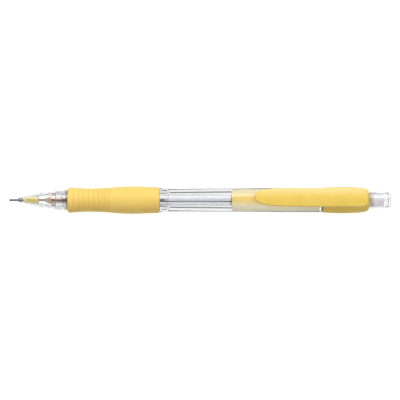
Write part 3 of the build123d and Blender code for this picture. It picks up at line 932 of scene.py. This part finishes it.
FLOOR_GLOW = 0.62
stage_floor()
BARREL_R = [(-11.5, 4.27), (-8.0, 4.29), (0.0, 4.32), (14.8, 4.41), (22.3, 4.49), (29.7, 4.55), (46.5, 4.56)]
flag("barrel_flag_a", (0.316, -1.158), (0.275, -0.968), 0.10, BARREL_R)
flag("barrel_flag_b", (0.193, -1.158), (0.161, -0.996), 0.12, BARREL_R)

world = bpy.data.worlds.new("studio")
scene.world = world
world.use_nodes = True
wn = world.node_tree
bg = wn.nodes["Background"]
tc = wn.nodes.new("ShaderNodeTexCoord")
sep = wn.nodes.new("ShaderNodeSeparateXYZ")
wn.links.new(tc.outputs["Generated"], sep.inputs["Vector"])


def world_ramp(value, stops):
    mr = wn.nodes.new("ShaderNodeMapRange")
    mr.inputs["From Min"].default_value = -1.0
    mr.inputs["From Max"].default_value = 1.0
    wn.links.new(value, mr.inputs["Value"])
    return ramp(wn, mr.outputs["Result"], [((z + 1) / 2, (v[0], v[1], v[2], 1)) for z, v in stops]).outputs["Color"]


def mix_colour(fac, a, b):
    n = wn.nodes.new("ShaderNodeMix")
    n.data_type = "RGBA"
    wn.links.new(fac, n.inputs["Factor"])
    for sock, v in ((n.inputs[6], a), (n.inputs[7], b)):
        if isinstance(v, tuple):
            sock.default_value = v
        else:
            wn.links.new(v, sock)
    return n.outputs[2]


def maths(op, a, b=None):
    n = wn.nodes.new("ShaderNodeMath")
    n.operation = op
    for k, v in enumerate((a, b)):
        if v is None:
            continue
        if isinstance(v, (int, float)):
            n.inputs[k].default_value = v
        else:
            wn.links.new(v, n.inputs[k])
    return n.outputs[0]


def step_range(value, lo, hi):
    mr = wn.nodes.new("ShaderNodeMapRange")
    mr.interpolation_type = "SMOOTHSTEP"
    mr.inputs["From Min"].default_value = lo
    mr.inputs["From Max"].default_value = hi
    wn.links.new(value, mr.inputs["Value"])
    return mr.outputs["Result"]


DX, DY, DZ = sep.outputs["X"], sep.outputs["Y"], sep.outputs["Z"]
W = lambda v: (v, v, v)
# height of the direction (as Z) against brightness, for the two sides of the studio
side_back = world_ramp(DZ, [(-1.0, W(1.0)), (-0.70, W(1.0)), (-0.45, (0.40, 0.41, 0.44)), (0.0, (0.35, 0.355, 0.37)),
                            (0.25, W(0.8)), (0.60, W(1.0)), (1.0, W(1.0))])
side_front = world_ramp(DZ, [(-1.0, W(1.0)), (-0.70, W(1.0)), (-0.45, (0.68, 0.69, 0.71)), (0.10, (0.51, 0.52, 0.545)),
                             (0.40, W(0.56)), (0.80, W(0.8)), (1.0, W(1.0))])
room = mix_colour(step_range(DY, -0.3, 0.3), side_front, side_back)
# what is mirrored, or seen through the clear plastic: bright all round, with a dark
# strip low on either side and the dark ceiling over the camera
open_side = world_ramp(DZ, [(-1.0, W(1.0)), (-0.40, W(1.0)), (0.0, (0.84, 0.845, 0.86)), (0.5, W(0.90)), (1.0, W(0.9))])
strip_back = world_ramp(DZ, [(-1.0, W(1.0)), (-0.62, W(1.0)), (-0.53, W(0.30)), (-0.46, (0.05, 0.055, 0.07)),
                             (-0.26, (0.05, 0.055, 0.07)), (-0.16, W(0.9)), (0.0, W(1.0)), (1.0, W(1.0))])
strip_front = world_ramp(DZ, [(-1.0, W(1.0)), (-0.84, W(1.0)), (-0.76, W(0.40)), (-0.70, (0.06, 0.065, 0.08)),
                              (-0.52, (0.06, 0.065, 0.08)), (-0.42, W(0.55)), (-0.15, W(0.60)), (0.0, W(1.0)), (1.0, W(1.0))])
strip = mix_colour(step_range(DY, -0.05, 0.05), strip_front, strip_back)
near_plane = step_range(maths("ABSOLUTE", DX), 0.34, 0.16)
strip = mix_colour(near_plane, (1.0, 1.0, 1.0, 1.0), strip)
strip_ends = world_ramp(DZ, [(-1.0, W(1.0)), (-0.80, W(1.0)), (-0.70, W(0.2)), (-0.60, (0.08, 0.085, 0.10)),
                             (-0.15, (0.10, 0.105, 0.12)), (0.05, W(0.7)), (0.25, W(1.0)), (1.0, W(1.0))])
ends = maths("MULTIPLY", step_range(maths("ABSOLUTE", DY), 0.45, 0.20), step_range(maths("ABSOLUTE", DX), 0.40, 0.60))
strip = mix_colour(ends, strip, strip_ends)
mul = wn.nodes.new("ShaderNodeMix")
mul.data_type = "RGBA"
mul.blend_type = "MULTIPLY"
mul.inputs["Factor"].default_value = 1.0
wn.links.new(open_side, mul.inputs[6])
wn.links.new(strip, mul.inputs[7])
over = maths("ADD", maths("MULTIPLY", DZ, back.z), maths("MULTIPLY", DY, back.y))
look = mix_colour(step_range(over, 0.72, 0.93), mul.outputs[2], (0.07, 0.072, 0.08, 1.0))
# light that reaches the pieces inside
inside = world_ramp(DZ, [(-1.0, W(1.0)), (-0.5, W(1.0)), (0.0, W(0.9)), (0.4, W(1.3)), (0.8, W(1.7)), (1.0, W(1.7))])
path = wn.nodes.new("ShaderNodeLightPath")
mirrored = maths("MAXIMUM", path.outputs["Is Transmission Ray"], path.outputs["Is Glossy Ray"])
lit = maths("GREATER_THAN", path.outputs["Diffuse Depth"], 0.5)
special = mix_colour(lit, look, inside)
wn.links.new(mix_colour(mirrored, room, special), bg.inputs["Color"])
bg.inputs["Strength"].default_value = 0.95


def area(name, loc, size, power, look=(0, 0, 0), color=(1, 1, 1)):
    d = bpy.data.lights.new(name, "AREA")
    d.shape = "RECTANGLE"
    d.size, d.size_y = size
    d.energy = power
    d.color = color
    o = bpy.data.objects.new(name, d)
    scene.collection.objects.link(o)
    o.location = loc
    o.rotation_mode = "QUATERNION"
    o.rotation_quaternion = (Vector(look) - Vector(loc)).to_track_quat("-Z", "Y")
    return o


area("key_soft", (0.0, 0.55, 0.75), (1.2, 0.5), 5.6)
